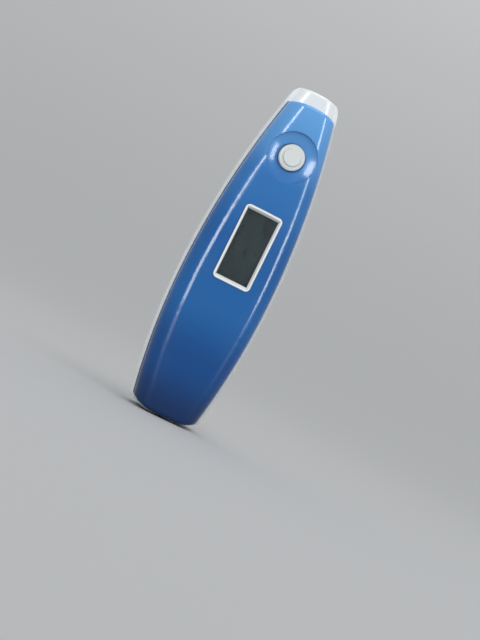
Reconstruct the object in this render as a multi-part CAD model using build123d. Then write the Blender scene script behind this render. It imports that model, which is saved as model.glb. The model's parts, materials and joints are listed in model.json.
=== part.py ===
from build123d import *
import os
from math import asin, cos, pi, radians, sin, sqrt

# Digital ear thermometer, in millimetres.
# +Z runs up the handle to the head, the front (display and button) faces -Y, the ear probe points to +Y.
# Pieces are laid out about the parting plane of the two shells, y = 0. They are written out moved by
# FOOT_MIDDLE_Y, so that the origin is the middle of the flat foot at the handle's bottom end.
# In the names below, _Y is a place along Y, and _DEPTH a distance in front of or behind the parting plane.

# ---------------------------------------------------------------- driving dimensions
# Front face outline: two arcs on each side that meet where the handle is widest.
WIDEST_Z = 59.0
WIDEST_HALF_WIDTH = 19.75
LOWER_SIDE_RADIUS = 286.0
UPPER_SIDE_RADIUS = 353.0
FRONT_TOP_Z = 141.0
FRONT_BOTTOM_Z = 0.9
HEAD_TOP_Z = 147.8

# Depth of the two shells, measured from the parting plane at y = 0.
FRONT_DEPTH = 10.0
REAR_DEPTH = 12.5
CROWN_RADIUS = 60.0
SHOULDER_RADIUS = 8.0
WALL = 1.8
RIM = 1.3                     # how far the rear shell stands out around the front shell
END_ROUND = 1.7
CAVITY_BOTTOM_Z = 4.0
NOSE_DEPTH = 3.0              # how far the white head stands forward, over the front shell's top end
NOSE_BOTTOM_Z = 139.6
NOSE_ROUND = 1.2
HEAD_GAP = 0.25
PARTING_GAP = 0.05            # between the screw bosses of the two shells
BACK_ROLL_RADIUS = 20.5       # the head's rounded back corner
BACK_ROLL_CENTRE = (-7.5, 130.0)
BACK_ROLL_ANGLE = 57.5

# Cutting tools reach this far, which is past the casing on every side.
ACROSS = 60.0
BEYOND = 20.0

# Foot and rounded ends.
FOOT_HALF_WIDTH = 5.0
FOOT_MIDDLE_Y = 2.3
BOTTOM_ARC_RADIUS = 17.5
TOP_ARC_RADIUS = 49.0

# Button and its dish.
BUTTON_Z = 118.8
BUTTON_RADIUS = 5.5
BUTTON_GAP = 0.3
DISH_RADIUS = 10.6
DISH_CENTRE_DEPTH = 5.8       # the dish's floor at its middle
DISH_EDGE_DEPTH = 8.3         # the dish's floor at its rim
DISH_BACK_DEPTH = 4.5         # the dish's underside, inside the casing
DISH_PAD_WALL = 1.6

# Display.
DISPLAY_Z = 77.8
BEZEL_WIDTH = 16.8
BEZEL_HEIGHT = 33.2
WINDOW_WIDTH = 13.9
WINDOW_HEIGHT = 29.5
BEZEL_PROUD = 0.3
BEZEL_CORNER = 2.0
BEZEL_FIT = 0.1
BEZEL_BACK_DEPTH = 7.2
BEZEL_POCKET_DEPTH = 4.0
WINDOW_SEAT_DEPTH = 8.2
WINDOW_BACK_DEPTH = 7.25
WINDOW_LEDGE = 0.5            # the window's edge behind the bezel
LCD_FRONT_DEPTH = 7.1
LCD_BACK_DEPTH = 5.5
LCD_WIDTH = 15.6
LCD_HEIGHT = 31.6

# Battery bay: two AAA cells side by side.
CELL_RADIUS = 5.25
CELL_LENGTH = 44.5
CELL_X = 5.6
CELL_Y = 4.2
DOOR_HALF_WIDTH = 12.2
DOOR_TOP_Z = 59.0
DOOR_GAP = 0.25
DOOR_INNER_Y = 4.8
RAIL_HALF_WIDTH = 13.0
RAIL_THICKNESS = 1.4
WEB_WIDTH = 1.0

# Ear probe: its axis leaves the back of the head and tilts up.
PROBE_ROOT = (0, 13.8, 122.5)
PROBE_TILT = 12.0
PROBE_ROOT_RADIUS = 8.0
COLLAR_RADIUS = 10.4
COLLAR_START = 1.5            # distances along the probe's axis, from its root
COLLAR_END = 4.0
SOCKET_RADIUS = 9.0
SOCKET_END = 2.8
PROBE_END = 26.0
PROBE_TIP_RADIUS = 4.3
BORE_RADIUS = 3.05
CAP_WALL = 0.9
CAP_GAP = 0.3
CAP_END = 30.1

# Electronics.
BOARD_FRONT_Y = 1.0
BOARD_THICKNESS = 1.2
BOARD_WIDTH = 16.4
BOARD_BOTTOM_Z = 58.5
BOARD_TOP_Z = 131.0
NFC_Z = 32.0

PROBE_PLANE = Plane(
    origin=PROBE_ROOT,
    x_dir=(1, 0, 0),
    z_dir=(0, cos(radians(PROBE_TILT)), sin(radians(PROBE_TILT))),
)


# ---------------------------------------------------------------- helpers
def half_width(z):
    """Half width of the front face at height z."""
    radius = LOWER_SIDE_RADIUS if z < WIDEST_Z else UPPER_SIDE_RADIUS
    return WIDEST_HALF_WIDTH - radius + sqrt(radius**2 - (z - WIDEST_Z) ** 2)


def shell_section(z, half, depth, crown, shoulder):
    """Closed half-oval: flat on the parting plane, crowned towards +Y, with round shoulders."""
    centre_y = depth - crown
    shoulder_x = half - shoulder
    shoulder_y = centre_y + sqrt((crown - shoulder) ** 2 - shoulder_x**2)
    reach = crown / (crown - shoulder)
    tangent = (shoulder_x * reach, centre_y + (shoulder_y - centre_y) * reach)
    turn = asin(shoulder_x / (crown - shoulder))
    middle_angle = (pi / 2 - turn) / 2
    middle = (shoulder_x + shoulder * cos(middle_angle), shoulder_y + shoulder * sin(middle_angle))

    def mirrored(point):
        return (-point[0], point[1])

    edges = [
        Line((-half, 0), (half, 0)),
        Line((half, 0), (half, shoulder_y)),
        ThreePointArc((half, shoulder_y), middle, tangent),
        ThreePointArc(tangent, (0, depth), mirrored(tangent)),
        ThreePointArc(mirrored(tangent), mirrored(middle), (-half, shoulder_y)),
        Line((-half, shoulder_y), (-half, 0)),
    ]
    return Plane.XY.offset(z) * make_face(edges)


def lofted_half(heights, offset, depth, wall=0.0):
    """One half of the casing, crowned towards +Y, through sections at the given heights."""
    sections = [
        shell_section(
            z,
            half_width(z) + offset - wall,
            depth - wall,
            CROWN_RADIUS - wall,
            SHOULDER_RADIUS - wall,
        )
        for z in heights
    ]
    return loft(Sketch() + sections)


def end_profile(bottom_z, top_z, top_half_width, neck_z, neck_half_width, corner=0.0):
    """Front outline that trims both ends: flat foot with tangent arcs, and an arched top."""
    wide = WIDEST_HALF_WIDTH + 2 * RIM
    arc_angle = asin((wide - RIM - FOOT_HALF_WIDTH) / BOTTOM_ARC_RADIUS)
    top_corner_z = top_z - TOP_ARC_RADIUS + sqrt(TOP_ARC_RADIUS**2 - top_half_width**2)

    def on_arc(angle, side):
        x = FOOT_HALF_WIDTH + BOTTOM_ARC_RADIUS * sin(angle)
        return (side * x, bottom_z + BOTTOM_ARC_RADIUS * (1 - cos(angle)))

    edges = [
        Line(on_arc(0, -1), on_arc(0, 1)),
        ThreePointArc(on_arc(0, 1), on_arc(arc_angle / 2, 1), on_arc(arc_angle, 1)),
        Line(on_arc(arc_angle, 1), (wide, neck_z)),
        Line((wide, neck_z), (neck_half_width, neck_z)),
        Line((neck_half_width, neck_z), (top_half_width, top_corner_z)),
        ThreePointArc((top_half_width, top_corner_z), (0, top_z), (-top_half_width, top_corner_z)),
        Line((-top_half_width, top_corner_z), (-neck_half_width, neck_z)),
        Line((-neck_half_width, neck_z), (-wide, neck_z)),
        Line((-wide, neck_z), on_arc(arc_angle, -1)),
        ThreePointArc(on_arc(arc_angle, -1), on_arc(arc_angle / 2, -1), on_arc(0, -1)),
    ]
    face = make_face(edges)
    if corner > 0:
        middle_z = (neck_z + top_z) / 2
        face = fillet(face.vertices().filter_by(lambda v: v.Y > middle_z), corner)
    return face


def stand_up(face, y_from, y_to):
    """Turn a front-view face (x, z) into a solid between two depths."""
    upright = Plane(origin=(0, y_to, 0), x_dir=(1, 0, 0), z_dir=(0, -1, 0)) * face
    return extrude(upright, amount=y_to - y_from)


def block(width, height, y_from, y_to, x=0.0, z=0.0, corner=0.0):
    """Plate of a given width and height in the front view, centred on (x, z)."""
    face = RectangleRounded(width, height, corner) if corner else Rectangle(width, height)
    return stand_up(Pos(x, z) * face, y_from, y_to)


def rod(radius, y_from, y_to, x=0.0, z=0.0):
    """Round bar along Y."""
    return stand_up(Pos(x, z) * Circle(radius), y_from, y_to)


def along_probe(points):
    """Turned piece around the probe axis from (radius, distance) points."""
    outline = make_face(Polyline(*points, close=True))
    upright = Plane.XZ * outline
    return PROBE_PLANE * revolve(upright, Axis.Z)


def round_edges(solid, edges, radius):
    """Fillet a set of edges."""
    return solid.fillet(radius, edges)


# ---------------------------------------------------------------- casing
SECTION_HEIGHTS = [-3, 15, 35, 59, 80, 100, 120, 135, 148]
FOOT_ZONE_Z = 8.0             # ends are rounded below and above these heights
FRONT_HEAD_ZONE_Z = 134.0
REAR_HEAD_ZONE_Z = 131.0
INNER_TOP_GAP = 1.0           # extra wall at the top ends

CASE_SCREWS = [(-13.2, 66.0), (13.2, 66.0), (-11.5, 100.0), (11.5, 100.0)]
PILOT_RADIUS = 1.05
PILOT_DEPTH = 7.0
PILOT_BOSS_RADIUS = 2.4
SCREW_RADIUS = 1.0
SCREW_HEAD_RADIUS = 2.2
SCREW_HEAD_HEIGHT = 1.5
SCREW_SEAT_Y = 5.0
SCREW_TIP_Y = -6.5
SEAT_BOSS_RADIUS = 3.1


def front_outline(gap):
    """Outline of the blue front shell, with its top end grown by a gap."""
    return end_profile(FRONT_BOTTOM_Z, FRONT_TOP_Z + gap, 18.0, 132.0, 21.0)


def rear_outline():
    """Outline of the rear shell, which narrows above its shoulders into the head."""
    return end_profile(0.0, HEAD_TOP_Z, 9.4, 139.8, 12.3, corner=3.5)


def round_ends(body, head_zone_z):
    """Round the edges at the foot and at the head, apart from those on the parting plane."""
    ends = []
    for edge in body.edges():
        box = edge.bounding_box()
        at_end = box.max.Z < FOOT_ZONE_Z or box.min.Z > head_zone_z
        if at_end and abs(edge.center().Y) > PARTING_GAP:
            ends.append(edge)
    return round_edges(body.solid(), ends, END_ROUND)


def front_outer():
    """Outside of the front shell, as one solid."""
    body = mirror(lofted_half(SECTION_HEIGHTS, 0.0, FRONT_DEPTH), about=Plane.XZ)
    body = body & stand_up(front_outline(0.0), -BEYOND, 0)
    return round_ends(body, FRONT_HEAD_ZONE_Z)


def dish():
    """Space of the dish: straight wall, round floor."""
    rise = DISH_EDGE_DEPTH - DISH_CENTRE_DEPTH
    floor_radius = (DISH_RADIUS**2 + rise**2) / (2 * rise)
    floor = Pos(0, -DISH_CENTRE_DEPTH - floor_radius, BUTTON_Z) * Sphere(floor_radius)
    return rod(DISH_RADIUS, -BEYOND, -DISH_CENTRE_DEPTH + 0.5, z=BUTTON_Z) & floor


def front_shell():
    """Blue front shell, with the dish, the button's hole, the display's pocket and the screw pilots."""
    outer = front_outer()
    inner = mirror(lofted_half(SECTION_HEIGHTS, 0.0, FRONT_DEPTH, WALL), about=Plane.XZ)
    inner_top = FRONT_TOP_Z - WALL - INNER_TOP_GAP
    cavity_middle = (CAVITY_BOTTOM_Z + inner_top) / 2
    inner = inner & block(ACROSS, inner_top - CAVITY_BOTTOM_Z, -BEYOND, 1, z=cavity_middle)
    dish_pad = rod(DISH_RADIUS + DISH_PAD_WALL, -BEYOND, -DISH_BACK_DEPTH, z=BUTTON_Z)
    shell = outer - (inner - dish_pad)
    for x, z in CASE_SCREWS:
        shell = shell + (rod(PILOT_BOSS_RADIUS, -FRONT_DEPTH, -PARTING_GAP, x=x, z=z) & outer)
    shell = shell - dish()
    shell = shell - rod(BUTTON_RADIUS + BUTTON_GAP, -BEYOND, 0, z=BUTTON_Z)
    pocket = block(
        BEZEL_WIDTH, BEZEL_HEIGHT, -BEYOND, -BEZEL_POCKET_DEPTH, z=DISPLAY_Z, corner=BEZEL_CORNER
    )
    shell = shell - pocket
    for x, z in CASE_SCREWS:
        shell = shell - rod(PILOT_RADIUS, -PILOT_DEPTH, 1, x=x, z=z)
    return shell


def side_profile(inset):
    """Side view of the rear shell: straight back, with the head's back corner rolled over."""
    roll_radius = BACK_ROLL_RADIUS - inset
    centre_y, centre_z = BACK_ROLL_CENTRE
    end_angle = radians(BACK_ROLL_ANGLE)

    def on_roll(angle):
        return (centre_y + roll_radius * cos(angle), centre_z + roll_radius * sin(angle))

    back, top = on_roll(0), on_roll(end_angle)
    low_z, front_y = -5.0, -2.0
    face = make_face(
        [
            Line((front_y, low_z), (back[0], low_z)),
            Line((back[0], low_z), back),
            ThreePointArc(back, on_roll(end_angle / 2), top),
            Line(top, (front_y, top[1] + 0.5)),
            Line((front_y, top[1] + 0.5), (front_y, low_z)),
        ]
    )
    sideways = Plane(origin=(-ACROSS / 2, 0, 0), x_dir=(0, 1, 0), z_dir=(1, 0, 0)) * face
    return extrude(sideways, amount=ACROSS)


def rear_outer():
    """Outside of the rear shell with the probe's neck and the head's nose, as one solid."""
    body = lofted_half(SECTION_HEIGHTS, RIM, REAR_DEPTH)
    body = body & stand_up(rear_outline(), 0, BEYOND)
    body = body & side_profile(0.0)
    body = round_ends(body, REAR_HEAD_ZONE_Z)
    neck_start, neck_radius, neck_shoulder = -9.0, 13.4, 11.6
    neck = along_probe(
        [
            (0, neck_start),
            (neck_radius, neck_start),
            (neck_shoulder, COLLAR_START),
            (COLLAR_RADIUS, COLLAR_START),
            (COLLAR_RADIUS, COLLAR_END),
            (0, COLLAR_END),
        ]
    )
    return body + neck + head_nose()


def head_nose():
    """Front part of the head: stands forward of the parting plane, around the front shell's top end."""
    crown = mirror(lofted_half(SECTION_HEIGHTS, RIM, FRONT_DEPTH), about=Plane.XZ)
    nose = Pos(0, FRONT_DEPTH - NOSE_DEPTH, 0) * crown
    nose = nose & stand_up(rear_outline(), -BEYOND, 0)
    nose = nose - stand_up(front_outline(HEAD_GAP), -BEYOND, 1)
    nose = nose & block(ACROSS, BEYOND, -BEYOND, 0, z=NOSE_BOTTOM_Z + BEYOND / 2)
    rim = [
        edge
        for edge in nose.edges()
        if edge.bounding_box().min.Z > FRONT_TOP_Z + 1.5 and edge.center().Y < -PARTING_GAP
    ]
    return round_edges(nose.solid(), rim, NOSE_ROUND)


def rear_inner():
    """Hollow of the rear shell, which stops short of the head's nose."""
    inner = lofted_half(SECTION_HEIGHTS, RIM, REAR_DEPTH, WALL)
    top = HEAD_TOP_Z - WALL - 0.5
    inner = inner & block(ACROSS, top - CAVITY_BOTTOM_Z, -1, BEYOND, z=(top + CAVITY_BOTTOM_Z) / 2)
    inner = inner - block(ACROSS, BEYOND, -1, WALL, z=NOSE_BOTTOM_Z - WALL + BEYOND / 2)
    return inner & side_profile(WALL)


def door_space(gap):
    """Space of the battery door's plate, grown by a gap on each side."""
    top = DOOR_TOP_Z + gap
    height = top + 5
    return block(2 * (DOOR_HALF_WIDTH + gap), height, DOOR_INNER_Y - gap, BEYOND, z=top - height / 2)


def door_rails(gap, bottom, top):
    """Flanges along both sides of the door that run behind the shell's wall."""
    inner_y, outer_y = DOOR_INNER_Y - gap, DOOR_INNER_Y + RAIL_THICKNESS + gap
    return block(2 * (RAIL_HALF_WIDTH + gap), top - bottom, inner_y, outer_y, z=(top + bottom) / 2)


def rear_shell(outer, inner):
    """White rear shell, with the door's opening, the probe's socket and the screw seats."""
    bosses = [rod(SEAT_BOSS_RADIUS, 3 * PARTING_GAP, REAR_DEPTH, x=x, z=z) & outer for x, z in CASE_SCREWS]
    shell = outer - inner
    for boss in bosses:
        shell = shell + boss
    shell = shell - door_space(DOOR_GAP) - door_rails(DOOR_GAP, -5, 5)
    mouth_radius = PROBE_ROOT_RADIUS + 0.3
    socket = along_probe(
        [
            (0, -SOCKET_RADIUS),
            (SOCKET_RADIUS, -SOCKET_RADIUS),
            (SOCKET_RADIUS, SOCKET_END),
            (mouth_radius, SOCKET_END),
            (mouth_radius, COLLAR_END + 1),
            (0, COLLAR_END + 1),
        ]
    )
    shell = shell - socket
    for x, z in CASE_SCREWS:
        shell = shell - rod(SCREW_HEAD_RADIUS + 0.3, SCREW_SEAT_Y, BEYOND, x=x, z=z)
        shell = shell - rod(SCREW_RADIUS + 0.2, 0, SCREW_SEAT_Y + 1, x=x, z=z)
    return shell


def battery_door(outer, inner):
    """Plate that follows the back, with side rails, a tongue at its top and grip ribs."""
    plate = (outer & door_space(0.0)) - inner
    between_webs = block(2 * (DOOR_HALF_WIDTH - WEB_WIDTH), ACROSS, 0, BEYOND, z=ACROSS / 2)
    rails = door_rails(0.0, 7.0, 55.0) - between_webs
    webs = block(2 * DOOR_HALF_WIDTH, 48.0, DOOR_INNER_Y, 11.0, z=31.0) - between_webs
    webs = webs & outer
    tongue_width, tongue_y = 6.0, 9.7
    tongue = block(tongue_width, 5.0, tongue_y, tongue_y + 0.65, z=DOOR_TOP_Z - 0.7)
    tongue_root = block(tongue_width, 2.0, tongue_y, 11.5, z=DOOR_TOP_Z - 2.2)
    door = plate + rails + webs + tongue + tongue_root
    rib_count, rib_pitch, rib_top_z = 6, 2.0, 50.0
    for step in range(rib_count):
        rib_z = rib_top_z - rib_pitch * step
        door = door + block(15.0 - step, 0.9, 11.0, REAR_DEPTH + 0.45, z=rib_z, corner=0.4)
    return door


# ---------------------------------------------------------------- button and switch
CAP_FACE_DEPTH = 8.5
PAD_FACE_DEPTH = 9.3
PAD_RADIUS = 3.7
FLANGE_FRONT_Y = -DISH_BACK_DEPTH + 0.3
FLANGE_THICKNESS = 0.7
STEM_RADIUS = 2.2
SWITCH_TIP_Y = -2.2
SWITCH_FACE_Y = -1.4
SWITCH_SIDE = 6.0
PLUNGER_RADIUS = 1.7


def scan_button():
    """Cap with a raised round pad, a flange that keeps it in, and a stem down to the switch."""
    cap = rod(BUTTON_RADIUS, -CAP_FACE_DEPTH, FLANGE_FRONT_Y, z=BUTTON_Z)
    cap = cap.solid().fillet(0.7, cap.faces().sort_by(Axis.Y)[0].edges())
    pad = rod(PAD_RADIUS, -PAD_FACE_DEPTH, FLANGE_FRONT_Y, z=BUTTON_Z)
    pad = pad.solid().fillet(0.45, pad.faces().sort_by(Axis.Y)[0].edges())
    flange_back_y = FLANGE_FRONT_Y + FLANGE_THICKNESS
    flange = rod(BUTTON_RADIUS + 0.8, FLANGE_FRONT_Y, flange_back_y, z=BUTTON_Z)
    stem = rod(STEM_RADIUS, flange_back_y, SWITCH_TIP_Y, z=BUTTON_Z)
    return cap + pad + flange + stem


def button_seal():
    """Flat ring against the dish's underside, around the button's flange."""
    ring = rod(8.6, -DISH_BACK_DEPTH, -DISH_BACK_DEPTH + 0.9, z=BUTTON_Z)
    return ring - rod(6.8, -BEYOND, 0, z=BUTTON_Z)


def tact_switch_body():
    """Square switch on the board, with a well for its plunger."""
    body = block(SWITCH_SIDE, SWITCH_SIDE, SWITCH_FACE_Y, BOARD_FRONT_Y, z=BUTTON_Z, corner=0.4)
    return body - rod(PLUNGER_RADIUS + 0.15, -2, 0.6, z=BUTTON_Z)


def tact_switch_plunger():
    """Round plunger that the button's stem rests on."""
    return rod(PLUNGER_RADIUS, SWITCH_TIP_Y, -0.4, z=BUTTON_Z)


# ---------------------------------------------------------------- display
def display_bezel():
    """White frame that follows the front's crown, with a mouth that flares outwards."""
    width, height = BEZEL_WIDTH - 2 * BEZEL_FIT, BEZEL_HEIGHT - 2 * BEZEL_FIT
    corner = BEZEL_CORNER - BEZEL_FIT
    frame = block(width, height, -BEYOND, -BEZEL_BACK_DEPTH, z=DISPLAY_Z, corner=corner)
    crown = Cylinder(CROWN_RADIUS + BEZEL_PROUD, ACROSS)
    frame = frame & (Pos(0, CROWN_RADIUS - FRONT_DEPTH, DISPLAY_Z) * crown)

    def opening(depth, wider, taller):
        face = Rectangle(WINDOW_WIDTH + wider, WINDOW_HEIGHT + taller)
        return Plane(origin=(0, -depth, DISPLAY_Z), x_dir=(1, 0, 0), z_dir=(0, -1, 0)) * face

    frame = frame - loft(Sketch() + [opening(WINDOW_SEAT_DEPTH, 0, 0), opening(10.8, 1.7, 2.3)])
    seat = 2 * (WINDOW_LEDGE + BEZEL_FIT)
    return frame - block(WINDOW_WIDTH + seat, WINDOW_HEIGHT + seat, -WINDOW_SEAT_DEPTH, -7.0, z=DISPLAY_Z)


def display_window():
    """Clear sheet in the bezel's seat."""
    width, height = WINDOW_WIDTH + 2 * WINDOW_LEDGE, WINDOW_HEIGHT + 2 * WINDOW_LEDGE
    return block(width, height, -WINDOW_SEAT_DEPTH + 0.02, -WINDOW_BACK_DEPTH, z=DISPLAY_Z)


def lcd_panel():
    """Glass of the display."""
    return block(LCD_WIDTH, LCD_HEIGHT, -LCD_FRONT_DEPTH, -LCD_BACK_DEPTH, z=DISPLAY_Z)


def lcd_holder():
    """Frame that holds the glass on the board."""
    outer = block(17.6, 34.4, -7.0, BOARD_FRONT_Y, z=DISPLAY_Z, corner=1.0)
    return outer - block(LCD_WIDTH + 0.3, LCD_HEIGHT + 0.3, -8, BOARD_FRONT_Y + 1, z=DISPLAY_Z)


def zebra_connectors():
    """Two elastomer strips between the glass and the board."""
    strips = []
    for side in (1, -1):
        strip = block(14.0, 1.8, -LCD_BACK_DEPTH, BOARD_FRONT_Y, z=DISPLAY_Z + side * 14.0)
        strips.append(strip.solid())
    return Compound(strips)


# ---------------------------------------------------------------- board
BOARD_BACK_Y = BOARD_FRONT_Y + BOARD_THICKNESS
BUZZER_Z = 105.0
BUZZER_HEIGHT = 2.6


def circuit_board():
    """Board behind the display and the button."""
    height, middle = BOARD_TOP_Z - BOARD_BOTTOM_Z, (BOARD_BOTTOM_Z + BOARD_TOP_Z) / 2
    return block(BOARD_WIDTH, height, BOARD_FRONT_Y, BOARD_BACK_Y, z=middle, corner=1.2)


def on_board(width, height, thickness, x, z):
    """Rectangular component on the board's back."""
    return block(width, height, BOARD_BACK_Y, BOARD_BACK_Y + thickness, x=x, z=z)


def board_chips():
    """Controller, two small chips, the sensor's connector, a capacitor and two rows of resistors."""
    parts = [
        on_board(7.0, 7.0, 1.2, 0, 84.0),
        on_board(4.0, 5.0, 1.0, -4.5, 72.0),
        on_board(4.0, 5.0, 1.0, 4.5, 72.0),
        on_board(6.0, 3.0, 1.4, 0, 126.8),
        rod(1.6, BOARD_BACK_Y, BOARD_BACK_Y + 5.0, x=5.5, z=63.0),
    ]
    resistor_pitch = 2.4
    for index in range(5):
        for x in (-6.5, 6.5):
            parts.append(on_board(1.6, 0.9, 0.7, x, 80.0 + resistor_pitch * index))
    return Compound([part.solid() for part in parts])


def buzzer():
    """Round sounder with a hole in its face."""
    can = rod(5.0, BOARD_BACK_Y, BOARD_BACK_Y + BUZZER_HEIGHT, z=BUZZER_Z)
    return can - rod(0.8, BOARD_BACK_Y + 1.8, BOARD_BACK_Y + BUZZER_HEIGHT + 1, z=BUZZER_Z)


FERRITE_FRONT_Y = -7.2


def nfc_ferrite_sheet():
    """Thin sheet behind the aerial coil."""
    return block(18.0, 34.0, FERRITE_FRONT_Y, FERRITE_FRONT_Y + 0.35, z=NFC_Z, corner=1.0)


def nfc_coil():
    """Flat spiral of four square turns, joined corner to corner."""
    track, pitch = 0.7, 1.5
    half_x, half_z = 8.0, 16.0

    def leg(width, height, x, z):
        return block(width, height, FERRITE_FRONT_Y - 0.2, FERRITE_FRONT_Y, x=x, z=NFC_Z + z)

    legs = []
    for turn in range(4):
        x, z = half_x - pitch * turn, half_z - pitch * turn
        legs.append(leg(track, 2 * z, -x, 0))
        legs.append(leg(2 * x + track, track, 0, z))
        legs.append(leg(track, 2 * z, x, 0))
        legs.append(leg(2 * x - pitch, track, pitch / 2, -z))
        legs.append(leg(track, pitch + track, -x + pitch, -z + pitch / 2))
    spiral = legs[0]
    for part in legs[1:]:
        spiral = spiral + part
    return spiral


# ---------------------------------------------------------------- batteries
TRAY_BOTTOM_Z = 4.6
TRAY_END_WALL = 1.4
TRAY_TOP_Z = 56.4
TRAY_FLOOR_Y = -1.2
BAY_BOTTOM_Z = TRAY_BOTTOM_Z + TRAY_END_WALL
BAY_TOP_Z = TRAY_TOP_Z - TRAY_END_WALL
BAY_MIDDLE_Z = (BAY_BOTTOM_Z + BAY_TOP_Z) / 2
BAY_MIRROR = Plane.XY.offset(BAY_MIDDLE_Z)
NUB_LENGTH = 1.0
CAN_LENGTH = CELL_LENGTH - NUB_LENGTH
SPRING_SPACE = 3.0
SPRING_RADIUS = 3.2
SPRING_WIRE_RADIUS = 0.25
SPRING_TURNS = 3
SPRING_CLEARANCE = 0.03
STRIP_THICKNESS = 0.4


def battery_tray():
    """Open box around the two cells, with raised end walls and a low divider."""
    height, middle = TRAY_TOP_Z - TRAY_BOTTOM_Z, (TRAY_TOP_Z + TRAY_BOTTOM_Z) / 2
    tray = block(24.4, height, TRAY_FLOOR_Y - 1.3, 4.5, z=middle, corner=0.8)
    tray = tray - block(22.1, BAY_TOP_Z - BAY_BOTTOM_Z, TRAY_FLOOR_Y, 5, z=BAY_MIDDLE_Z)
    for z in (TRAY_BOTTOM_Z + TRAY_END_WALL / 2, TRAY_TOP_Z - TRAY_END_WALL / 2):
        tray = tray + block(20.6, TRAY_END_WALL, 4.0, 8.4, z=z)
    return tray + block(0.5, 30.0, TRAY_FLOOR_Y, 3.0, z=BAY_MIDDLE_Z)


def battery_cell(x, nub_up):
    """One AAA cell: can and plus nub."""
    can_bottom = BAY_BOTTOM_Z + SPRING_SPACE
    can = Pos(x, CELL_Y, can_bottom + CAN_LENGTH / 2) * Cylinder(CELL_RADIUS, CAN_LENGTH)
    can = can.fillet(0.5, can.edges())
    nub = Pos(x, CELL_Y, can_bottom + CAN_LENGTH + NUB_LENGTH / 2) * Cylinder(1.9, NUB_LENGTH)
    cell = can + nub
    return cell if nub_up else mirror(cell, about=BAY_MIRROR)


def battery_springs():
    """One spring at the left cell's bottom, one at the right cell's top."""
    height = SPRING_SPACE - STRIP_THICKNESS - 2 * (SPRING_WIRE_RADIUS + SPRING_CLEARANCE)
    path = Helix(pitch=height / SPRING_TURNS, height=height, radius=SPRING_RADIUS)
    section = Plane(origin=path @ 0, z_dir=path % 0) * Circle(SPRING_WIRE_RADIUS)
    coil = sweep(section, path=path, is_frenet=True)
    start_z = BAY_BOTTOM_Z + STRIP_THICKNESS + SPRING_WIRE_RADIUS + SPRING_CLEARANCE
    left = Pos(-CELL_X, CELL_Y, start_z) * coil
    right = mirror(Pos(CELL_X, CELL_Y, start_z) * coil, about=BAY_MIRROR)
    return Compound([left.solid(), right.solid()])


def contact_strip(width, x, z):
    """Flat strip on an end wall of the bay."""
    return block(width, STRIP_THICKNESS, CELL_Y - 3, CELL_Y + 3, x=x, z=z)


def battery_contacts():
    """At the top end: the spring's plate on the right, a folded plus contact on the left."""
    plate = contact_strip(7.0, CELL_X, BAY_TOP_Z - STRIP_THICKNESS / 2)
    return Compound([plate.solid(), plus_contact(-CELL_X).solid()])


def plus_contact(x):
    """Folded strip that stands off the end wall and meets the nub at the top end."""
    touch_z = BAY_BOTTOM_Z + SPRING_SPACE + CELL_LENGTH
    depth = BAY_TOP_Z - touch_z
    middle = touch_z + depth / 2
    outer = block(6.0, depth, CELL_Y - 2.5, CELL_Y + 2.5, x=x, z=middle)
    inner_width = 6.0 - 2 * STRIP_THICKNESS
    return outer - block(inner_width, depth, CELL_Y - 3, CELL_Y + 3, x=x, z=middle + STRIP_THICKNESS)


def battery_link_plate():
    """Strip across the bottom end wall, with the right cell's plus contact folded up from it."""
    strip = contact_strip(2 * CELL_X + 7.0, 0, BAY_BOTTOM_Z + STRIP_THICKNESS / 2)
    return strip + mirror(plus_contact(CELL_X), about=BAY_MIRROR)


# ---------------------------------------------------------------- screws
def case_screws():
    """Four cross-head screws, put in from the back."""
    head_y, slot_y = SCREW_SEAT_Y + SCREW_HEAD_HEIGHT, SCREW_SEAT_Y + 0.7
    slot_length, slot_width = 2.8, 0.6
    screws = []
    for x, z in CASE_SCREWS:
        screw = rod(SCREW_RADIUS, SCREW_TIP_Y, SCREW_SEAT_Y, x=x, z=z)
        screw = screw + rod(SCREW_HEAD_RADIUS, SCREW_SEAT_Y, head_y, x=x, z=z)
        screw = screw - block(slot_length, slot_width, slot_y, head_y + 1, x=x, z=z)
        screw = screw - block(slot_width, slot_length, slot_y, head_y + 1, x=x, z=z)
        screws.append(screw.solid())
    return Compound(screws)


# ---------------------------------------------------------------- ear probe
NOSE_END = 27.4
FLANGE_RADIUS = 8.9
SLEEVE_RADIUS = 3.0
SLEEVE_BORE_RADIUS = 2.35
SLEEVE_START = 12.0
CAN_START = 20.0
CAN_RADIUS = 2.1
CAN_END = 24.5
CAN_WINDOW_RADIUS = 1.1


def probe_cone():
    """Hollow cone with a flange that the rear shell's collar holds."""
    return along_probe(
        [
            (7.0, 1.4),
            (FLANGE_RADIUS, 1.4),
            (FLANGE_RADIUS, SOCKET_END - 0.1),
            (PROBE_ROOT_RADIUS, SOCKET_END - 0.1),
            (PROBE_TIP_RADIUS, PROBE_END),
            (BORE_RADIUS, PROBE_END),
            (BORE_RADIUS, 11.0),
        ]
    )


def probe_nose_ring():
    """Rounded ring at the probe's tip that keeps the sensor's window in."""
    return along_probe(
        [
            (BORE_RADIUS, PROBE_END),
            (PROBE_TIP_RADIUS, PROBE_END),
            (PROBE_TIP_RADIUS - 0.1, PROBE_END + 0.9),
            (3.6, NOSE_END),
            (2.6, NOSE_END),
            (2.6, PROBE_END + 1.0),
            (BORE_RADIUS, PROBE_END + 1.0),
        ]
    )


def washer(inner_radius, outer_radius, start, end):
    """Round piece with flat ends on the probe's axis."""
    return along_probe(
        [(inner_radius, start), (outer_radius, start), (outer_radius, end), (inner_radius, end)]
    )


def sensor_window():
    """Infrared filter disc."""
    return washer(0, SLEEVE_RADIUS, PROBE_END + 0.3, PROBE_END + 0.95)


def sensor_sleeve():
    """Metal tube that keeps the sensor's can at an even temperature."""
    return washer(SLEEVE_BORE_RADIUS, SLEEVE_RADIUS, SLEEVE_START, PROBE_END + 0.2)


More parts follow.
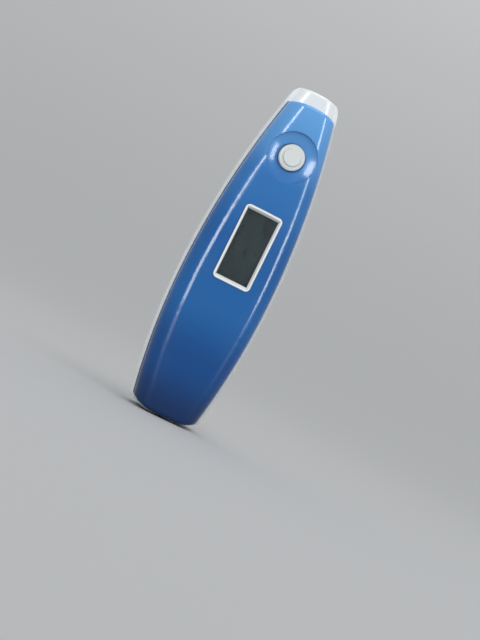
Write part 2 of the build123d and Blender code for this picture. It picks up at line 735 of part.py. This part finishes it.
def sensor_can():
    """Thermopile can with a base flange and a window in its end."""
    base_radius, base_end, window_z = SLEEVE_BORE_RADIUS - 0.05, CAN_START + 0.6, CAN_END - 0.3
    return along_probe(
        [
            (0, CAN_START),
            (base_radius, CAN_START),
            (base_radius, base_end),
            (CAN_RADIUS, base_end),
            (CAN_RADIUS, CAN_END),
            (CAN_WINDOW_RADIUS, CAN_END),
            (CAN_WINDOW_RADIUS, window_z),
            (0, window_z),
        ]
    )


def probe_seal():
    """Soft ring around the cone, on the collar's face."""
    start, end = COLLAR_END + 0.05, COLLAR_END + 0.8
    inner_radius = PROBE_ROOT_RADIUS - 0.1
    return along_probe([(inner_radius, start), (9.6, start), (9.3, end), (inner_radius, end)])


def sensor_flex():
    """Ribbon from the sensor, back down the bore and into the board's connector."""
    tilt = radians(PROBE_TILT)
    board_y = BOARD_BACK_Y + 0.7
    ribbon_width = 3.0

    def on_axis(distance):
        return (PROBE_ROOT[1] + distance * cos(tilt), PROBE_ROOT[2] + distance * sin(tilt))

    corners = [on_axis(CAN_START - 0.05), on_axis(-3.0), (board_y, 118.5), (board_y, 125.3)]
    strip = trace(FilletPolyline(*corners, radius=1.2), line_width=0.2)
    sideways = Plane(origin=(-ribbon_width / 2, 0, 0), x_dir=(0, 1, 0), z_dir=(1, 0, 0)) * strip
    return extrude(sideways, amount=ribbon_width)


def probe_cap():
    """Clear cap: a skirt around the collar, a cone over the probe and a closed rounded tip."""
    skirt_radius = COLLAR_RADIUS + CAP_GAP
    skirt_start = COLLAR_START + 0.2
    cone_start, cone_end = 6.2, 27.7
    cone_root_radius, cone_tip_radius = 9.05, 5.35
    return along_probe(
        [
            (skirt_radius, skirt_start),
            (skirt_radius + CAP_WALL, skirt_start),
            (skirt_radius + CAP_WALL, cone_start - 1.6),
            (cone_root_radius + CAP_WALL, cone_start + 0.4),
            (cone_tip_radius + 0.85, cone_end + 0.3),
            (4.6, CAP_END - 0.5),
            (0, CAP_END),
            (0, CAP_END - CAP_WALL),
            (4.2, CAP_END - 1.3),
            (cone_tip_radius, cone_end),
            (cone_root_radius, cone_start),
            (skirt_radius, cone_start - 2.0),
        ]
    )


def main():
    """Build every piece and write it to parts/."""
    os.makedirs("parts", exist_ok=True)
    outer = rear_outer()
    inner = rear_inner()
    pieces = {
        "front_shell": front_shell(),
        "rear_shell": rear_shell(outer, inner),
        "battery_door": battery_door(outer, inner),
        "scan_button": scan_button(),
        "button_seal": button_seal(),
        "tact_switch_body": tact_switch_body(),
        "tact_switch_plunger": tact_switch_plunger(),
        "display_bezel": display_bezel(),
        "display_window": display_window(),
        "lcd_panel": lcd_panel(),
        "lcd_holder": lcd_holder(),
        "zebra_connectors": zebra_connectors(),
        "circuit_board": circuit_board(),
        "board_chips": board_chips(),
        "buzzer": buzzer(),
        "nfc_ferrite_sheet": nfc_ferrite_sheet(),
        "nfc_coil": nfc_coil(),
        "battery_tray": battery_tray(),
        "battery_cell_left": battery_cell(-CELL_X, True),
        "battery_cell_right": battery_cell(CELL_X, False),
        "battery_springs": battery_springs(),
        "battery_contacts": battery_contacts(),
        "battery_link_plate": battery_link_plate(),
        "case_screws": case_screws(),
        "probe_cone": probe_cone(),
        "probe_nose_ring": probe_nose_ring(),
        "sensor_window": sensor_window(),
        "sensor_sleeve": sensor_sleeve(),
        "sensor_can": sensor_can(),
        "probe_seal": probe_seal(),
        "sensor_flex": sensor_flex(),
        "probe_cap": probe_cap(),
    }
    for name, shape in pieces.items():
        export_step(Pos(0, -FOOT_MIDDLE_Y, 0) * shape, f"parts/{name}.step")


main()
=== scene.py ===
import json
import math

import bmesh
import bpy
from mathutils import Matrix, Vector


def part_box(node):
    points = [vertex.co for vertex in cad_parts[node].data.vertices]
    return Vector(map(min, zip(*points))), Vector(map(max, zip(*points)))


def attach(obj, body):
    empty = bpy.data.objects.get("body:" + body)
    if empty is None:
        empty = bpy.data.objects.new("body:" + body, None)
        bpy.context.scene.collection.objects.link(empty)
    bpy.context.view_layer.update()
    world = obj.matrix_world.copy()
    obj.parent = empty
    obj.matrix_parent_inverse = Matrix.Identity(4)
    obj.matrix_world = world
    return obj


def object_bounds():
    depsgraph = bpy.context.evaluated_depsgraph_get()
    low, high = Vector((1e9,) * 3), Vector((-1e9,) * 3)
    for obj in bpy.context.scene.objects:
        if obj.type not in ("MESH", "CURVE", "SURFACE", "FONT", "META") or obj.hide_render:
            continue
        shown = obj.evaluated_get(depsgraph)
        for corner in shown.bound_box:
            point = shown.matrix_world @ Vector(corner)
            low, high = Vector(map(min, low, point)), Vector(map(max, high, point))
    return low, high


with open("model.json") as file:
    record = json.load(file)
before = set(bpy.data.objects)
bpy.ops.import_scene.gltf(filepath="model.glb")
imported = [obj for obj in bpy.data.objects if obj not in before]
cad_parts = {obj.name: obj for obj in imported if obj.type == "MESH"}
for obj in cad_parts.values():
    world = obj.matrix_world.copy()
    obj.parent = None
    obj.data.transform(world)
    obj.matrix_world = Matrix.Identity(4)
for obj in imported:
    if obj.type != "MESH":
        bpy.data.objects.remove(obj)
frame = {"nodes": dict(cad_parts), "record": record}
NODES = frame["nodes"]
cad_low, cad_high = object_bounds()
SCENE = bpy.context.scene

MM = 0.001
EDGE_RADIUS = 0.35 * MM           # softened edges of the mouldings
BLUE_EDGE_RADIUS = 0.6 * MM
ALONG_HANDLE = (1.0, 1.0, 0.3)    # draws a texture out along the handle
SCENE.view_settings.view_transform = "Standard"


# ---------------------------------------------------------------- materials
def new_material(name, colour, roughness, metallic=0.0, coat=0.0, coat_roughness=0.05, specular=0.5):
    """A Principled material; uniform values go on the shader's own sockets."""
    material = bpy.data.materials.new(name)
    material.use_nodes = True
    shader = material.node_tree.nodes["Principled BSDF"]
    shader.inputs["Base Color"].default_value = (*colour, 1.0)
    shader.inputs["Roughness"].default_value = roughness
    shader.inputs["Metallic"].default_value = metallic
    shader.inputs["Coat Weight"].default_value = coat
    shader.inputs["Coat Roughness"].default_value = coat_roughness
    shader.inputs["Specular IOR Level"].default_value = specular
    return material, shader


def object_coordinates(tree, scale=(1.0, 1.0, 1.0)):
    """Object coordinates, in metres; a scale under 1 draws the texture out along that axis."""
    coordinates = tree.nodes.new("ShaderNodeTexCoord")
    mapping = tree.nodes.new("ShaderNodeMapping")
    mapping.inputs["Scale"].default_value = scale
    tree.links.new(coordinates.outputs["Object"], mapping.inputs["Vector"])
    return mapping.outputs["Vector"]


def noise(tree, grain, detail=3.0, scale=(1.0, 1.0, 1.0)):
    """Noise whose features are about `grain` metres across."""
    texture = tree.nodes.new("ShaderNodeTexNoise")
    texture.inputs["Scale"].default_value = 1.0 / grain
    texture.inputs["Detail"].default_value = detail
    tree.links.new(object_coordinates(tree, scale), texture.inputs["Vector"])
    return texture.outputs["Fac"]


def to_range(tree, value, low, high, from_low=0.3, from_high=0.7):
    """Map a value to a range; a noise texture lies mostly between 0.3 and 0.7."""
    remap = tree.nodes.new("ShaderNodeMapRange")
    remap.inputs["From Min"].default_value = from_low
    remap.inputs["From Max"].default_value = from_high
    remap.inputs["To Min"].default_value = low
    remap.inputs["To Max"].default_value = high
    tree.links.new(value, remap.inputs["Value"])
    return remap.outputs["Result"]


def scaled(colour, factor):
    """A lighter or darker version of a colour."""
    return tuple(min(1.0, channel * factor) for channel in colour)


def mix_colours(tree, factor, first, second):
    """Colour that goes from the first to the second as the factor goes from 0 to 1."""
    mix = tree.nodes.new("ShaderNodeMix")
    mix.data_type = "RGBA"
    mix.inputs["A"].default_value = (*first, 1.0)
    mix.inputs["B"].default_value = (*second, 1.0)
    tree.links.new(factor, mix.inputs["Factor"])
    return mix.outputs["Result"]


def soft_edges(tree, radius):
    """Normal that rounds moulded edges by a small radius."""
    bevel = tree.nodes.new("ShaderNodeBevel")
    bevel.samples = 4
    bevel.inputs["Radius"].default_value = radius
    return bevel.outputs["Normal"]


def add_bump(tree, shader, height, distance, strength=1.0, under=None):
    """Bump of a given height in metres, over an optional normal below it."""
    bump = tree.nodes.new("ShaderNodeBump")
    bump.inputs["Distance"].default_value = distance
    bump.inputs["Strength"].default_value = strength
    tree.links.new(height, bump.inputs["Height"])
    if under is not None:
        tree.links.new(under, bump.inputs["Normal"])
    tree.links.new(bump.outputs["Normal"], shader.inputs["Normal"])
    return bump.outputs["Normal"]


def moulded_plastic(name, colour, roughness, shade=0.06, texture_depth=0.004, coat=0.0, grain=0.35):
    """Moulded plastic: slight colour drift, uneven gloss and a fine skin; depth and grain are in mm."""
    material, shader = new_material(name, colour, roughness, coat=coat)
    tree = material.node_tree
    drift = to_range(tree, noise(tree, 22 * MM, 2.0), 0.0, 1.0)
    drifted = mix_colours(tree, drift, scaled(colour, 1.0 - shade), scaled(colour, 1.0 + shade * 0.6))
    tree.links.new(drifted, shader.inputs["Base Color"])
    smear = to_range(tree, noise(tree, 6 * MM, 4.0, (1.0, 1.0, 0.45)), roughness * 0.8, roughness * 1.25)
    tree.links.new(smear, shader.inputs["Roughness"])
    edges = soft_edges(tree, EDGE_RADIUS)
    wave = add_bump(tree, shader, noise(tree, 9 * MM, 1.0), texture_depth * 2.0 * MM, 0.5, under=edges)
    add_bump(tree, shader, noise(tree, grain * MM, 2.0), texture_depth * MM, 1.0, under=wave)
    return material


def blue_gloss():
    """Glossy blue moulding with faint handling marks; its colour is painted lighter towards the head
    (painted sheen) and deeper towards the foot (painted shade).
    """
    material, shader = new_material("blue_gloss_plastic", (0.03, 0.14, 0.4), 0.16, coat=0.2, specular=0.34)
    tree = material.node_tree
    low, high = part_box("front_shell")
    split = tree.nodes.new("ShaderNodeSeparateXYZ")
    tree.links.new(object_coordinates(tree), split.inputs["Vector"])
    height = to_range(tree, split.outputs["Z"], 0.0, 1.0, low.z, high.z)
    # Painted sheen and shade: the ramp lightens the blue towards the head, as a reflection of a bright
    # ceiling would, and darkens it towards the foot.
    ramp = tree.nodes.new("ShaderNodeValToRGB")
    ramp.color_ramp.interpolation = "EASE"
    painted_sheen_stops = [
        (0.0, (0.0, 0.02, 0.09)),
        (0.18, (0.001, 0.058, 0.22)),
        (0.36, (0.01, 0.11, 0.335)),
        (0.55, (0.011, 0.102, 0.32)),
        (0.75, (0.028, 0.155, 0.42)),
        (0.88, (0.09, 0.28, 0.6)),
        (1.0, (0.12, 0.34, 0.68)),
    ]
    while len(ramp.color_ramp.elements) < len(painted_sheen_stops):
        ramp.color_ramp.elements.new(0.5)
    for element, (place, colour) in zip(ramp.color_ramp.elements, painted_sheen_stops):
        element.position = place
        element.color = (*colour, 1.0)
    tree.links.new(height, ramp.inputs["Fac"])
    tree.links.new(ramp.outputs["Color"], shader.inputs["Base Color"])
    smear = to_range(tree, noise(tree, 7 * MM, 5.0, (1.0, 1.0, 0.4)), 0.1, 0.22)
    tree.links.new(smear, shader.inputs["Roughness"])
    edges = soft_edges(tree, BLUE_EDGE_RADIUS)
    wave = add_bump(tree, shader, noise(tree, 14 * MM, 1.0), 0.02 * MM, 0.4, under=edges)
    add_bump(tree, shader, noise(tree, 0.5 * MM, 2.0), 0.0012 * MM, 1.0, under=wave)
    return material


def rubber(name, colour):
    """Matt speckled rubber."""
    material, shader = new_material(name, colour, 0.75, specular=0.3)
    tree = material.node_tree
    speck = to_range(tree, noise(tree, 0.5 * MM, 4.0), 0.0, 1.0)
    speckled = mix_colours(tree, speck, scaled(colour, 0.75), scaled(colour, 1.25))
    tree.links.new(speckled, shader.inputs["Base Color"])
    add_bump(tree, shader, noise(tree, 0.25 * MM, 4.0), 0.02 * MM)
    return material


def metal(name, colour, roughness, brush=(1.0, 1.0, 12.0)):
    """Metal with brushed or turned scratches, which run across the axis that `brush` scales up."""
    material, shader = new_material(name, colour, roughness, metallic=1.0)
    tree = material.node_tree
    scratch = noise(tree, 0.6 * MM, 5.0, brush)
    tree.links.new(to_range(tree, scratch, roughness * 0.7, roughness * 1.5), shader.inputs["Roughness"])
    tone = to_range(tree, noise(tree, 3 * MM, 3.0), 0.0, 1.0)
    tree.links.new(mix_colours(tree, tone, scaled(colour, 0.82), colour), shader.inputs["Base Color"])
    add_bump(tree, shader, scratch, 0.004 * MM)
    return material


def clear_plastic(name, colour, roughness, ior=1.49):
    """Clear moulding with faint flow ripples."""
    material, shader = new_material(name, colour, roughness)
    shader.inputs["Transmission Weight"].default_value = 1.0
    shader.inputs["IOR"].default_value = ior
    tree = material.node_tree
    smear = to_range(tree, noise(tree, 5 * MM, 3.0), roughness * 0.6, roughness * 1.8)
    tree.links.new(smear, shader.inputs["Roughness"])
    add_bump(tree, shader, noise(tree, 6 * MM, 1.0), 0.02 * MM, 0.5)
    return material


def dark_display():
    """Unlit display glass: near black with a teal cast, dull streaks from its protective film."""
    material, shader = new_material("display_glass", (0.012, 0.02, 0.022), 0.12, coat=0.3)
    tree = material.node_tree
    streak = to_range(tree, noise(tree, 3.5 * MM, 4.0, ALONG_HANDLE), 0.0, 1.0, 0.35, 0.75)
    streaked = mix_colours(tree, streak, (0.005, 0.015, 0.018), (0.02, 0.047, 0.056))
    tree.links.new(streaked, shader.inputs["Base Color"])
    tree.links.new(to_range(tree, streak, 0.1, 0.3, 0.0, 1.0), shader.inputs["Roughness"])
    add_bump(tree, shader, noise(tree, 8 * MM, 2.0), 0.01 * MM, 0.5)
    return material


def board_laminate():
    """Green solder mask over copper tracks."""
    material, shader = new_material("board_laminate", (0.01, 0.12, 0.05), 0.35)
    tree = material.node_tree
    tracks = tree.nodes.new("ShaderNodeTexBrick")
    tracks.inputs["Scale"].default_value = 1.0 / (4 * MM)
    tracks.inputs["Color1"].default_value = (0.008, 0.1, 0.04, 1.0)
    tracks.inputs["Color2"].default_value = (0.012, 0.14, 0.06, 1.0)
    tracks.inputs["Mortar"].default_value = (0.03, 0.26, 0.12, 1.0)
    tracks.inputs["Mortar Size"].default_value = 0.03
    swap = tree.nodes.new("ShaderNodeSeparateXYZ")
    join = tree.nodes.new("ShaderNodeCombineXYZ")
    tree.links.new(object_coordinates(tree), swap.inputs["Vector"])
    tree.links.new(swap.outputs["X"], join.inputs["X"])
    tree.links.new(swap.outputs["Z"], join.inputs["Y"])
    tree.links.new(join.outputs["Vector"], tracks.inputs["Vector"])
    tree.links.new(tracks.outputs["Color"], shader.inputs["Base Color"])
    add_bump(tree, shader, tracks.outputs["Fac"], 0.03 * MM)
    return material


def cell_jacket():
    """Printed foil jacket of a dry cell: black, with a copper-coloured top quarter."""
    material, shader = new_material("cell_jacket", (0.02, 0.02, 0.022), 0.3, coat=0.3)
    tree = material.node_tree
    low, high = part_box("battery_cell_left")
    split = tree.nodes.new("ShaderNodeSeparateXYZ")
    tree.links.new(object_coordinates(tree), split.inputs["Vector"])
    band = tree.nodes.new("ShaderNodeMath")
    band.operation = "GREATER_THAN"
    band.inputs[1].default_value = high.z - 0.25 * (high.z - low.z)
    tree.links.new(split.outputs["Z"], band.inputs[0])
    jacket = mix_colours(tree, band.outputs["Value"], (0.02, 0.02, 0.022), (0.55, 0.28, 0.1))
    tree.links.new(jacket, shader.inputs["Base Color"])
    add_bump(tree, shader, noise(tree, 1.2 * MM, 3.0), 0.01 * MM)
    return material


MATERIALS = {
    "blue_shell": blue_gloss(),
    "white_shell": moulded_plastic("white_shell_plastic", (0.76, 0.78, 0.77), 0.3, shade=0.03, coat=0.15),
    "white_button": moulded_plastic("white_button_plastic", (0.62, 0.65, 0.64), 0.38, shade=0.03),
    "white_bezel": moulded_plastic("white_bezel_plastic", (0.8, 0.82, 0.82), 0.22, shade=0.02, coat=0.2),
    "clear_window": clear_plastic("clear_window_sheet", (0.9, 0.95, 0.95), 0.03, ior=1.35),
    "dark_display": dark_display(),
    "inner_plastic": moulded_plastic("inner_plastic", (0.55, 0.56, 0.55), 0.55),
    "black_plastic": moulded_plastic("black_plastic", (0.015, 0.015, 0.016), 0.5, shade=0.2),
    "grey_rubber": rubber("grey_rubber", (0.09, 0.095, 0.1)),
    "board_laminate": board_laminate(),
    "ferrite": moulded_plastic("ferrite_sheet", (0.03, 0.03, 0.033), 0.6, shade=0.2, texture_depth=0.02),
    "copper": metal("bare_copper", (0.75, 0.34, 0.18), 0.3),
    "cell_jacket": cell_jacket(),
    "plated_steel": metal("nickel_plate", (0.6, 0.58, 0.54), 0.28),
    "screw_steel": metal("zinc_plate", (0.5, 0.5, 0.5), 0.35, brush=(1.0, 12.0, 1.0)),
    "sensor_filter": metal("sensor_filter", (0.25, 0.24, 0.28), 0.1, brush=(1.0, 1.0, 1.0)),
    "sleeve_brass": metal("turned_brass", (0.78, 0.55, 0.2), 0.25, brush=(1.0, 12.0, 1.0)),
    "flex_film": moulded_plastic("amber_film", (0.5, 0.2, 0.03), 0.3, shade=0.15),
    "clear_cap": clear_plastic("clear_cap_plastic", (0.97, 0.99, 1.0), 0.04),
}

for entry in frame["record"]["subparts"]:
    node = NODES[entry["node"]]
    node.data.materials.clear()
    node.data.materials.append(MATERIALS[entry["material_slot"]])


# ---------------------------------------------------------------- moulded details
RIB_HEIGHT = 0.45 * MM            # how far the battery door's ribs stand out


def add_piece(name, shape, material, body):
    """Turn a bmesh into a piece that rides on a body."""
    mesh = bpy.data.meshes.new(name)
    bmesh.ops.recalc_face_normals(shape, faces=shape.faces)
    shape.to_mesh(mesh)
    shape.free()
    mesh.materials.append(material)
    piece = bpy.data.objects.new(name, mesh)
    SCENE.collection.objects.link(piece)
    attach(piece, body)
    return piece


def raised_outline(shape, points, y_in, y_out, draft):
    """Closed prism between two depths from (x, z) points, drawn in by `draft` at its outer face."""
    count = len(points)
    middle = Vector((sum(x for x, z in points) / count, 0, sum(z for x, z in points) / count))
    inner = [shape.verts.new((x, y_in, z)) for x, z in points]
    outer = []
    for x, z in points:
        pull = (middle - Vector((x, 0, z))).normalized() * draft
        outer.append(shape.verts.new((x + pull.x, y_out, z + pull.z)))
    shape.faces.new(inner)
    shape.faces.new(outer)
    for index in range(count):
        after = (index + 1) % count
        shape.faces.new((inner[index], inner[after], outer[after], outer[index]))


def door_arrow():
    """Two raised chevrons on the battery door, pointing the way it slides."""
    low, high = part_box("battery_door")
    face_y = high.y - RIB_HEIGHT
    tip_z = low.z + 0.3 * (high.z - low.z)
    half, rise, stroke, spacing = 4.2 * MM, 3.4 * MM, 1.2 * MM, 3.0 * MM
    root, proud, draft = 0.4 * MM, 0.25 * MM, 0.08 * MM
    shape = bmesh.new()
    for lift in (0.0, spacing):
        tip = tip_z + lift
        for side in (-1, 1):
            arm = [
                (0.0, tip),
                (side * half, tip + rise),
                (side * half, tip + rise + stroke),
                (0.0, tip + stroke),
            ]
            raised_outline(shape, arm, face_y - root, face_y + proud, draft)
    add_piece("door_arrow", shape, MATERIALS["white_shell"], "door")


def seam_line():
    """Dark strip painted as the shadow line where the blue shell's side meets the white shell's rim."""
    low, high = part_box("front_shell")
    foot_margin, head_margin = 3 * MM, 1.2 * MM   # the line stops short of the rounded ends
    reach, tolerance = 4 * MM, 1.2 * MM           # points this far inside their neighbours are inner ones
    on_plane, merge_digits = 1e-5, 5
    widest = {}
    for vertex in NODES["front_shell"].data.vertices:
        x, y, z = vertex.co
        if high.y - y < on_plane and low.z + foot_margin < z < high.z - head_margin:
            key = round(z, merge_digits)
            widest[key] = max(widest.get(key, 0.0), abs(x))
    outer = []
    for z in sorted(widest):
        near = [widest[other] for other in widest if abs(other - z) < reach]
        if widest[z] > max(near) - tolerance:
            outer.append((widest[z], z))
    shape = bmesh.new()
    width, height = 0.28 * MM, 0.06 * MM
    for side in (-1, 1):
        rows = []
        for x, z in outer:
            corners = [(x, 0.0), (x + width, 0.0), (x + width, -height), (x, -height)]
            rows.append([shape.verts.new((side * across, high.y + back, z)) for across, back in corners])
        for first, second in zip(rows, rows[1:]):
            for index in range(4):
                after = (index + 1) % 4
                shape.faces.new((first[index], first[after], second[after], second[index]))
        shape.faces.new(rows[0])
        shape.faces.new(rows[-1])
    # Painted shadow: the grey rubber material only gives this strip its dark colour.
    add_piece("seam_line", shape, MATERIALS["grey_rubber"], "handle")


# Each bar of a digit: side (-1 left, 1 right, 0 middle), level (-1 bottom to 1 top). Middle bars lie flat.
SEGMENT_BARS = [(0, 1), (0, 0), (0, -1), (-1, 0.5), (1, 0.5), (-1, -0.5), (1, -0.5)]


def unlit_segments():
    """Three blank seven-bar digits and a decimal point, faintly visible on the unlit display."""
    low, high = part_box("lcd_panel")
    face_y = low.y - 0.02 * MM
    middle_z = (low.z + high.z) / 2
    half_width, half_height, stroke = 1.35 * MM, 2.5 * MM, 0.34 * MM
    gap = 0.7 * stroke
    spacing = 4.3 * MM
    shape = bmesh.new()

    def bar(x, z, along_x, along_z):
        corners = [(-along_x, -along_z), (along_x, -along_z), (along_x, along_z), (-along_x, along_z)]
        raised_outline(shape, [(x + dx, z + dz) for dx, dz in corners], low.y, face_y, 0.0)

    for digit in (-1, 0, 1):
        centre_x = digit * spacing
        for side, level in SEGMENT_BARS:
            x, z = centre_x + side * half_width, middle_z + level * half_height
            if side == 0:
                bar(x, z, half_width - gap, stroke / 2)
            else:
                bar(x, z, stroke / 2, half_height / 2 - gap)
    bar(spacing / 2, middle_z - half_height, stroke / 2, stroke / 2)
    add_piece("unlit_segments", shape, MATERIALS["black_plastic"], "handle")


door_arrow()
seam_line()
unlit_segments()


# ---------------------------------------------------------------- stage
FLOOR_COLOUR = (0.6, 0.605, 0.61)
SIDE_COLOUR = (0.9, 0.9, 0.9)
SIDE_HEIGHT = 0.9                 # height at which the side's own colour is reached
COVE_SWEEP = math.radians(62)     # how steep the bowl's side becomes
WORLD_STRENGTH = 0.66


def stage_material():
    """Pale paper, a little deeper on the floor than on the side, so that both look equally bright."""
    material, shader = new_material("pale_backdrop", (0.8, 0.8, 0.8), 0.9, specular=0.1)
    tree = material.node_tree
    split = tree.nodes.new("ShaderNodeSeparateXYZ")
    tree.links.new(object_coordinates(tree), split.inputs["Vector"])
    rise = to_range(tree, split.outputs["Z"], 0.0, 1.0, 0.0, SIDE_HEIGHT)
    tree.links.new(mix_colours(tree, rise, FLOOR_COLOUR, SIDE_COLOUR), shader.inputs["Base Color"])
    add_bump(tree, shader, noise(tree, 2 * MM, 2.0), 0.02 * MM, 0.3)
    return material


def backdrop():
    """Seamless bowl all round the object: a flat floor that curves up into a steep side."""
    floor_radius, cove_radius = 0.5, 2.4
    cove_steps, turns = 40, 96
    profile = [(0.0, 0.0), (floor_radius * 0.5, 0.0), (floor_radius, 0.0)]
    for step in range(1, cove_steps + 1):
        angle = COVE_SWEEP * step / cove_steps
        profile.append((floor_radius + cove_radius * math.sin(angle), cove_radius * (1 - math.cos(angle))))
    mesh = bpy.data.meshes.new("backdrop")
    shape = bmesh.new()
    rings = []
    for radius, height in profile:
        if radius == 0.0:
            rings.append([shape.verts.new((0, 0, height))])
            continue
        ring = []
        for turn in range(turns):
            angle = 2 * math.pi * turn / turns
            ring.append(shape.verts.new((radius * math.cos(angle), radius * math.sin(angle), height)))
        rings.append(ring)
    for inner, outer in zip(rings, rings[1:]):
        for turn in range(turns):
            after = (turn + 1) % turns
            if len(inner) == 1:
                shape.faces.new((inner[0], outer[turn], outer[after]))
            else:
                shape.faces.new((inner[turn], outer[turn], outer[after], inner[after]))
    for face in shape.faces:
        face.smooth = True
    shape.to_mesh(mesh)
    shape.free()
    mesh.materials.append(stage_material())
    piece = bpy.data.objects.new("backdrop", mesh)
    SCENE.collection.objects.link(piece)
    return piece


def area_light(name, place, target, size, power, colour=(1.0, 1.0, 1.0), unlit=None, gloss_only=False):
    """A soft panel aimed at `target`; objects of the `unlit` collection get no light from it."""
    data = bpy.data.lights.new(name, "AREA")
    data.shape = "RECTANGLE"
    data.size, data.size_y = size
    data.energy = power
    data.color = colour
    light = bpy.data.objects.new(name, data)
    light.location = place
    light.rotation_euler = (Vector(target) - Vector(place)).to_track_quat("-Z", "Y").to_euler()
    light.visible_diffuse = not gloss_only
    if unlit is not None:
        light.light_linking.receiver_collection = unlit
    SCENE.collection.objects.link(light)


def ring_place(azimuth, distance, height):
    """Place around the object: azimuth 0 is in front, positive to its right."""
    angle = math.radians(azimuth)
    return (distance * math.sin(angle), -distance * math.cos(angle), height)


def lighting(middle, floor):
    """A softbox above, shoulder strips and a fill behind, of which only the softbox lights the floor."""
    daylight = (0.97, 0.985, 1.0)
    unlit = bpy.data.collections.new("unlit_by_strips")
    unlit.objects.link(floor)
    unlit.collection_objects[0].light_linking.link_state = "EXCLUDE"
    area_light("top_softbox", (0.1, -0.25, 1.1), middle, (0.6, 0.6), 2.6)
    left_place, right_place = ring_place(-32, 0.85, 0.24), ring_place(46, 0.85, 0.27)
    left_size, right_size = (0.15, 0.5), (0.11, 0.44)
    area_light("left_strip", left_place, middle, left_size, 3.0, daylight, unlit)
    area_light("right_strip", right_place, middle, right_size, 2.0, daylight, unlit)
    area_light("left_gloss", left_place, middle, left_size, 2.6, daylight, unlit, gloss_only=True)
    area_light("right_gloss", right_place, middle, right_size, 1.4, daylight, unlit, gloss_only=True)
    area_light("back_fill", ring_place(160, 1.1, 0.9), middle, (0.8, 0.8), 1.8, unlit=unlit)
    world = bpy.data.worlds.new("studio")
    world.use_nodes = True
    background = world.node_tree.nodes["Background"]
    background.inputs["Color"].default_value = (0.96, 0.98, 1.0, 1.0)
    background.inputs["Strength"].default_value = WORLD_STRENGTH
    SCENE.world = world


# ---------------------------------------------------------------- camera
LEAN = math.radians(26.4)
CAMERA_TURN = math.radians(10.0)   # the camera stands a little to the left of the front
CAMERA_DISTANCE = 0.6
FRAME_HEIGHT = 0.2621          # height of the view at the front shell
MIDDLE_ABOVE_CENTRE = 0.0247   # the device's middle sits above the centre of the view
HEAD_ALLOWANCE = 0.0013        # the device's middle above the front shell's, because of the white head
SENSOR = 36.0


def camera():
    """Looks at the front face, rolled so that the handle leans to the right."""
    low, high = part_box("front_shell")
    level = Vector((math.cos(CAMERA_TURN), -math.sin(CAMERA_TURN), 0))
    upright = Vector((0, 0, 1))
    back = level.cross(upright)
    right = math.cos(LEAN) * level + math.sin(LEAN) * upright
    up = math.cos(LEAN) * upright - math.sin(LEAN) * level
    middle = Vector((0, (low.y + high.y) / 2, (low.z + high.z) / 2 + HEAD_ALLOWANCE))
    eye_place = middle - MIDDLE_ABOVE_CENTRE * up + CAMERA_DISTANCE * back
    data = bpy.data.cameras.new("camera")
    data.sensor_width = SENSOR
    data.lens = SENSOR * CAMERA_DISTANCE / FRAME_HEIGHT
    data.clip_start = 0.01
    eye = bpy.data.objects.new("camera", data)
    eye.matrix_world = Matrix(
        (
            (right.x, up.x, back.x, eye_place.x),
            (right.y, up.y, back.y, eye_place.y),
            (right.z, up.z, back.z, eye_place.z),
            (0, 0, 0, 1),
        )
    )
    SCENE.collection.objects.link(eye)
    SCENE.camera = eye


lighting((cad_low + cad_high) / 2, backdrop())
camera()
